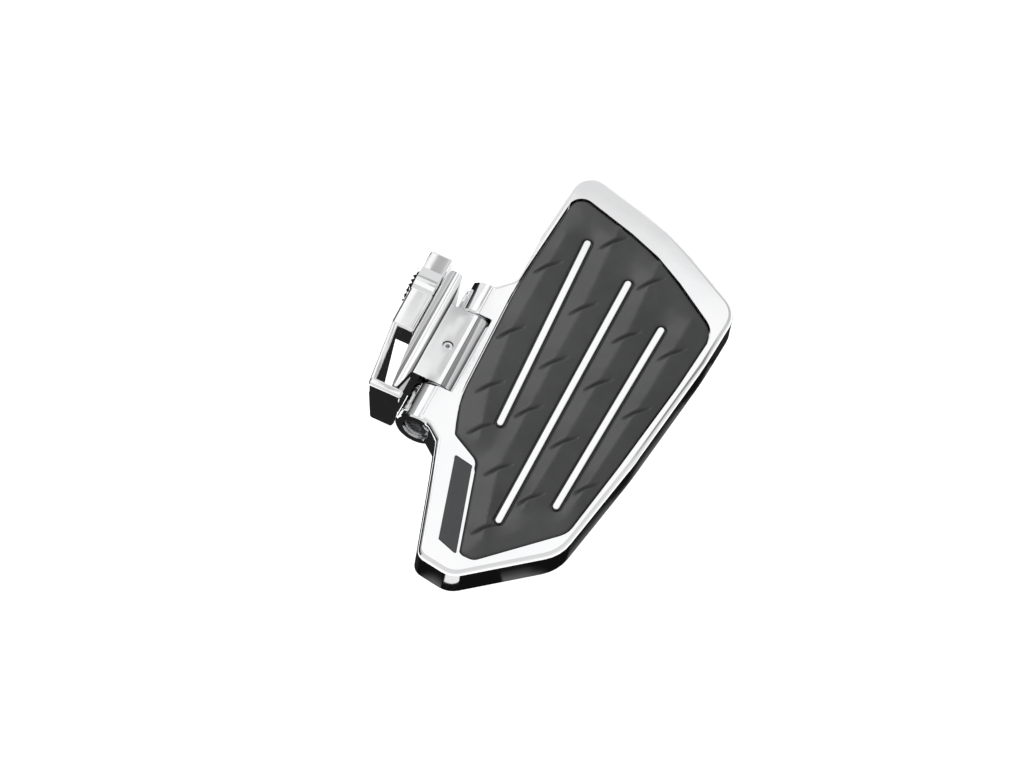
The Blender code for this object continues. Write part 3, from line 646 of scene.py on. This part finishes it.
def skirt_tone(place, outwards, distance):
    """What the skirt reflects from below: grey at its foot, black above, one white patch at the tip."""
    facing = VIEW_X * outwards.x - VIEW_Y * outwards.y
    height = distance * VIEW_Z / max(0.05, facing) - LOW_CARD_DROP
    tone = steps_between(height, [(-6.0, 0.17), (-1.0, 0.13), (3.0, 0.06), (7.0, 0.015), (11.0, 0.006)])
    tone = 0.02 + (tone - 0.02) * smooth(facing / 0.12)
    if place.y < -120 and 83.5 < place.x < 118.0:
        white = 85.5 < place.x < 99.5 and 20.5 < distance < 29.0
        return 0.95 if white else 0.006
    if outwards.x < -0.3:
        tone += 0.9 * smooth(place.y / 40.0)
    return tone


def studio():
    world = bpy.data.worlds.new("studio")
    bpy.context.scene.world = world
    world.use_nodes = True
    background = world.node_tree.nodes["Background"]
    background.inputs["Color"].default_value = (1.0, 1.0, 1.0, 1.0)
    background.inputs["Strength"].default_value = WORLD_STRENGTH

    floor = bpy.data.materials.new("pale_floor")
    floor.use_nodes = True
    nodes, links = floor.node_tree.nodes, floor.node_tree.links
    nodes.clear()
    output = nodes.new("ShaderNodeOutputMaterial")
    matt = nodes.new("ShaderNodeBsdfDiffuse")
    matt.inputs["Color"].default_value = (FLOOR_COLOUR, FLOOR_COLOUR, FLOOR_COLOUR, 1.0)
    glow = nodes.new("ShaderNodeEmission")
    rays = nodes.new("ShaderNodeLightPath")
    most = nodes.new("ShaderNodeMath")
    most.operation = "MAXIMUM"
    links.new(rays.outputs["Is Camera Ray"], most.inputs[0])
    links.new(rays.outputs["Is Glossy Ray"], most.inputs[1])
    lifted = nodes.new("ShaderNodeMath")
    lifted.operation = "MULTIPLY"
    lifted.inputs[1].default_value = FLOOR_GLOW
    links.new(most.outputs[0], lifted.inputs[0])
    links.new(lifted.outputs[0], glow.inputs["Strength"])
    both = nodes.new("ShaderNodeAddShader")
    links.new(matt.outputs[0], both.inputs[0])
    links.new(glow.outputs[0], both.inputs[1])
    links.new(both.outputs[0], output.inputs["Surface"])
    corners = ((-1, -1), (1, -1), (1, 1), (-1, 1))
    quad("floor", [(x * FLOOR_REACH, y * FLOOR_REACH, FLOOR_Z) for x, y in corners], floor)

    key = bpy.data.lights.new("key", "AREA")
    key.shape, key.size, key.energy = "DISK", KEY_SIZE, KEY_POWER
    lamp = bpy.data.objects.new("key", key)
    lamp.location = KEY_PLACE
    lamp.visible_camera = False
    lamp.rotation_euler = (KEY_AIM - lamp.location).to_track_quat("-Z", "Y").to_euler()
    bpy.context.scene.collection.objects.link(lamp)

    finish = card_finish()
    level_card("back_softbox", -0.45, 0.0, 0.85, 1.6, 0.516, 260, 64, softbox_tone, finish)
    level_card("mount_card", -0.0874, 0.14, -0.0294, 0.40, 0.514, 116, 130, mount_tone, finish)
    level_card("ceiling_card", -0.9, -1.2, 0.9, 0.0, 0.516, 2, 2, lambda x, y: 0.80, finish)
    left_rows = [[(-0.15, y, z) for y in (-0.30, -0.1, 0.13)] for z in (-0.05, 0.06, 0.09, 0.13, 0.25)]
    card("left_flag", left_rows, [[tone] * 3 for tone in (0.01, 0.015, 0.10, 0.34, 0.48)], finish)

    outline = evenly(rounded(BOARD_CORNERS), 1.5)
    outer = moved_in(outline, -1.0)
    outline.append(outline[0])
    outer.append(outer[0])
    rows, tones = [], []
    for distance in LOW_CARD_DISTANCES:
        row, row_tones = [], []
        for here, there in zip(outline, outer):
            outwards = (there - here).normalized()
            place = here + outwards * distance
            row.append(((place.x + HINGE.x) * MM, (place.y + HINGE.y) * MM, -LOW_CARD_DROP * MM))
            row_tones.append(skirt_tone(here + HINGE.xy, outwards, distance))
        rows.append(row)
        tones.append(row_tones)
    card("low_card", rows, tones, finish)


make_camera()
for node, obj in NODES.items():
    dress(obj, SLOT_OF[node])
rubber_pad()
polished("board_casting", "board")
polished("hinge_block", "mount")
polished("adapter_bracket", "mount")
studio()
bpy.context.scene.view_settings.view_transform = "Standard"
